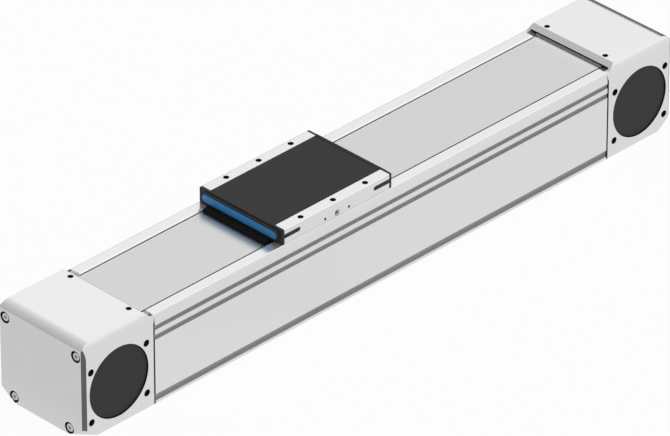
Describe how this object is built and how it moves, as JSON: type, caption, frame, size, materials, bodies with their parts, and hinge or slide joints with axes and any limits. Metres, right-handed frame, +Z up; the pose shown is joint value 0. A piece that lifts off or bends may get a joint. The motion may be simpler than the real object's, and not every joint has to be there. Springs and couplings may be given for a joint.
{
  "type": "toothed belt linear axis",
  "caption": "Belt-driven linear axis: an aluminium profile beam with end housings, a steel cover strip and a sliding carriage with a threaded mounting face.",
  "frame": {"origin": "middle of the base face, halfway between the two end faces", "axes": "+X along the axis from the left housing to the right one, +Z up out of the carriage's mounting face, +Y across, away from the front flank"},
  "size_m": [0.554, 0.08, 0.08],
  "materials": {
    "anodised_aluminium": "clear anodised, satin",
    "housing_aluminium": "clear anodised, satin",
    "black_aluminium": "black anodised, satin",
    "clamp_aluminium": "milled",
    "strip_steel": "rolled, satin",
    "ground_steel": "ground",
    "black_screw_steel": "black oxide",
    "bright_screw_steel": "zinc plated",
    "black_plastic": "fine moulded",
    "blue_plastic": "gloss",
    "belt_polyurethane": "smooth",
    "magnet_rubber": "matt",
    "buffer_rubber": "matt"
  },
  "bodies": {
    "frame": {"profile": "anodised_aluminium", "guide_rail": "ground_steel", "rail_screws": "black_screw_steel", "cover_strip": "strip_steel", "magnet_strips": "magnet_rubber", "toothed_belt": "belt_polyurethane", "housing_left": "housing_aluminium", "housing_right": "housing_aluminium", "disc_covers_left": "black_plastic", "disc_covers_right": "black_plastic", "housing_screws_left": "bright_screw_steel", "housing_screws_right": "bright_screw_steel", "strip_clamp_left": "ground_steel", "strip_clamp_right": "ground_steel", "clamp_grub_screws_left": "black_screw_steel", "clamp_grub_screws_right": "black_screw_steel", "bearing_outer_rings_left": "ground_steel", "bearing_outer_rings_right": "ground_steel", "circlips_left": "black_screw_steel", "circlips_right": "black_screw_steel", "end_buffers_left": "buffer_rubber", "end_buffers_right": "buffer_rubber"},
    "carriage": {"carriage_body": "anodised_aluminium", "carriage_cover": "black_aluminium", "end_cover_left": "black_plastic", "end_cover_right": "black_plastic", "end_stripe_left": "blue_plastic", "end_stripe_right": "blue_plastic", "strip_deflector_left": "black_plastic", "strip_deflector_right": "black_plastic", "guide_block": "ground_steel", "block_end_cap_left": "black_plastic", "block_end_cap_right": "black_plastic", "block_screws": "black_screw_steel", "belt_clamp_left": "clamp_aluminium", "belt_clamp_right": "clamp_aluminium", "belt_clamp_screws": "black_screw_steel", "sensor_magnets": "ground_steel", "lube_nipples": "bright_screw_steel"},
    "left_pulley": {"pulley_left": "clamp_aluminium", "pulley_flanges_left": "ground_steel", "pulley_shaft_left": "ground_steel", "bearing_inner_rings_left": "ground_steel", "shaft_clips_left": "black_screw_steel"},
    "right_pulley": {"pulley_right": "clamp_aluminium", "pulley_flanges_right": "ground_steel", "pulley_shaft_right": "ground_steel", "bearing_inner_rings_right": "ground_steel", "shaft_clips_right": "black_screw_steel"}
  },
  "joints": [
    {"name": "carriage_slide", "type": "slide", "parent": "frame", "child": "carriage", "axis": [1, 0, 0], "range_m": [-0.105, 0.195], "deforming": ["cover_strip", "toothed_belt"]},
    {"name": "left_pulley_turn", "type": "hinge", "parent": "frame", "child": "left_pulley", "pos_m": [-0.2454, 0, 0.0314], "axis": [0, 1, 0], "range_deg": [-380, 704]},
    {"name": "right_pulley_turn", "type": "hinge", "parent": "frame", "child": "right_pulley", "pos_m": [0.2454, 0, 0.0314], "axis": [0, 1, 0], "range_deg": [-380, 704]}
  ],
  "couplings": [
    {"joint": "left_pulley_turn", "follows": "carriage_slide", "rad_per_m": 62.832},
    {"joint": "right_pulley_turn", "follows": "carriage_slide", "rad_per_m": 62.832}
  ]
}
